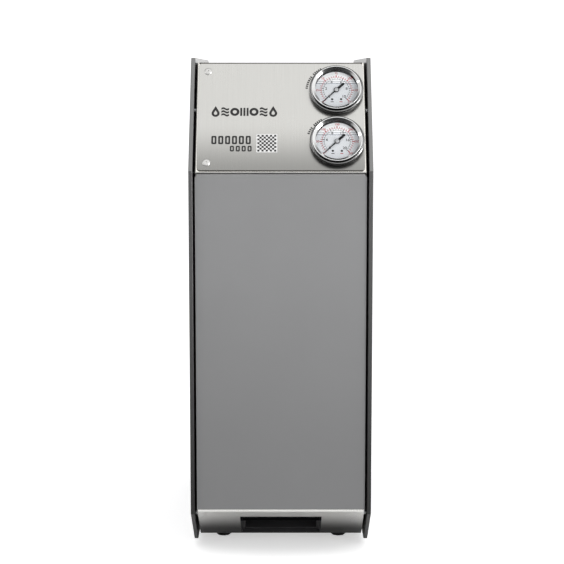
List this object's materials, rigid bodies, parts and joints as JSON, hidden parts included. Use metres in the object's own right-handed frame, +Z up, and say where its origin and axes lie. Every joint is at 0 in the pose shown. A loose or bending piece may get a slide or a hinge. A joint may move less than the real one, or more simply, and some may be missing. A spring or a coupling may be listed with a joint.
{
  "type": "reverse osmosis unit",
  "caption": "Tall narrow reverse osmosis water unit with dark side plates, a tilted gauge face, a top-hinged front door and an open service bay with filters, membranes and a pump.",
  "frame": {"origin": "on the floor plane under the middle of the overall box", "axes": "+X to the right seen from the front, -Y out of the front, +Z up"},
  "size_m": [0.222, 0.484, 0.619],
  "materials": {
    "brushed_steel": "fine brushed stainless sheet",
    "grey_panel": "satin grey paint, faint sheen",
    "graphite": "dark graphite satin coat",
    "black_plastic": "fine moulded grain",
    "black_rubber": "matte rubber",
    "chrome": "polished",
    "zinc": "bright zinc plating",
    "dial_white": "matte white dial print",
    "clear_glass": "clear flat window",
    "pointer_black": "satin black",
    "white_plastic": "moulded satin white",
    "blue_plastic": "moulded satin blue",
    "motor_paint": "sprayed enamel on a casting",
    "brass": "machined brass"
  },
  "bodies": {
    "cabinet": {"left_side_plate": "graphite", "right_side_plate": "graphite", "spacer_left_upper": "zinc", "spacer_right_upper": "zinc", "spacer_left_lower": "zinc", "spacer_right_lower": "zinc", "left_wall": "brushed_steel", "right_wall": "brushed_steel", "base_pan": "brushed_steel", "top_cover": "brushed_steel", "rear_panel": "brushed_steel", "front_left_foot": "black_rubber", "front_right_foot": "black_rubber", "rear_left_foot": "black_rubber", "rear_right_foot": "black_rubber", "control_housing": "brushed_steel", "control_plate": "brushed_steel", "control_screw_lower": "chrome", "control_screw_upper": "chrome", "lower_gauge_case": "chrome", "lower_gauge_bezel": "chrome", "lower_gauge_dial": "dial_white", "lower_gauge_window": "clear_glass", "upper_gauge_case": "chrome", "upper_gauge_bezel": "chrome", "upper_gauge_dial": "dial_white", "upper_gauge_window": "clear_glass", "hinge_rail": "brushed_steel", "hinge_rod": "zinc", "filter_shelf": "brushed_steel", "filter_head_left": "white_plastic", "filter_head_right": "white_plastic", "membrane_left": "white_plastic", "membrane_right": "white_plastic", "membrane_rear": "white_plastic", "membrane_clamp": "brushed_steel", "motor_case": "motor_paint", "pump_body": "brass", "inlet_valve_body": "brass", "inlet_valve_coil": "black_plastic", "reject_valve_body": "brass", "feed_port": "brass", "permeate_port": "brass", "drain_port": "brass", "feed_hose": "blue_plastic", "drain_hose": "black_plastic", "controller_box": "white_plastic", "power_inlet": "black_plastic", "switch_frame": "black_plastic"},
    "door": {"door_skin": "grey_panel", "door_tray": "brushed_steel", "grip_cup": "black_plastic"},
    "upper_pointer": {"upper_gauge_needle": "pointer_black"},
    "lower_pointer": {"lower_gauge_needle": "pointer_black"},
    "pump_rotor": {"motor_rotor": "zinc"},
    "inlet_plunger": {"inlet_valve_plunger": "zinc"},
    "reject_knob": {"reject_valve_knob": "black_plastic"},
    "left_cartridge": {"filter_cartridge_left": "white_plastic"},
    "right_cartridge": {"filter_cartridge_right": "blue_plastic"},
    "power_rocker": {"switch_rocker": "black_plastic"}
  },
  "joints": [
    {"name": "door_hinge", "type": "hinge", "parent": "cabinet", "child": "door", "pos_m": [0, -0.2315, 0.47597], "axis": [-1, 0, 0], "range_deg": [0, 95]},
    {"name": "upper_gauge_pointer", "type": "hinge", "parent": "cabinet", "child": "upper_pointer", "pos_m": [0.068, -0.17843, 0.57708], "axis": [0, 0.8533, -0.5214], "range_deg": [0, 270]},
    {"name": "lower_gauge_pointer", "type": "hinge", "parent": "cabinet", "child": "lower_pointer", "pos_m": [0.068, -0.21577, 0.51598], "axis": [0, 0.8533, -0.5214], "range_deg": [0, 270]},
    {"name": "pump_shaft", "type": "hinge", "parent": "cabinet", "child": "pump_rotor", "pos_m": [0, 0.04, 0.084], "axis": [0, 1, 0], "continuous": true},
    {"name": "inlet_plunger_lift", "type": "slide", "parent": "cabinet", "child": "inlet_plunger", "axis": [0, 0, 1], "range_m": [0, 0.003]},
    {"name": "reject_knob_turn", "type": "hinge", "parent": "cabinet", "child": "reject_knob", "pos_m": [0.058, 0.212, 0.208], "axis": [0, 1, 0], "range_deg": [0, 900]},
    {"name": "left_cartridge_twist", "type": "hinge", "parent": "cabinet", "child": "left_cartridge", "pos_m": [-0.049, -0.172, 0.4], "axis": [0, 0, 1], "range_deg": [0, 60]},
    {"name": "right_cartridge_twist", "type": "hinge", "parent": "cabinet", "child": "right_cartridge", "pos_m": [0.049, -0.172, 0.4], "axis": [0, 0, 1], "range_deg": [0, 60]},
    {"name": "power_rocker_tilt", "type": "hinge", "parent": "cabinet", "child": "power_rocker", "pos_m": [0.014, 0.199, 0.56], "axis": [-1, 0, 0], "range_deg": [0, 20]}
  ]
}
